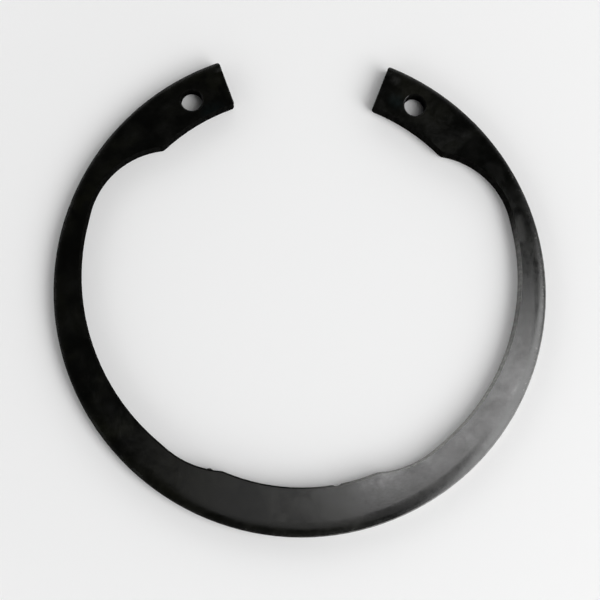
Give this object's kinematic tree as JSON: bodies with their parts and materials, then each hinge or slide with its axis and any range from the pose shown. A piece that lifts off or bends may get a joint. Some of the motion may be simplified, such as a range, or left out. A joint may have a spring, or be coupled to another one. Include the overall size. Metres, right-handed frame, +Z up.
{
  "type": "retaining ring",
  "caption": "Internal retaining ring for a groove in a bore: a flat open spring-steel ring with tapering arms, a pad opposite its gap, and a lug with a plier hole at each end.",
  "frame": {"origin": "centre of the outer rim's circle, on the lower face that the ring lies on", "axes": "+Z up, out of the stamped upper face; +Y through the middle of the gap; +X across the ring, towards the right lug seen from above"},
  "size_m": [0.0794, 0.0767, 0.0025],
  "materials": {
    "black_steel": "black oxide, oiled satin"
  },
  "bodies": {
    "root": {"retaining_ring": "black_steel"}
  },
  "joints": []
}
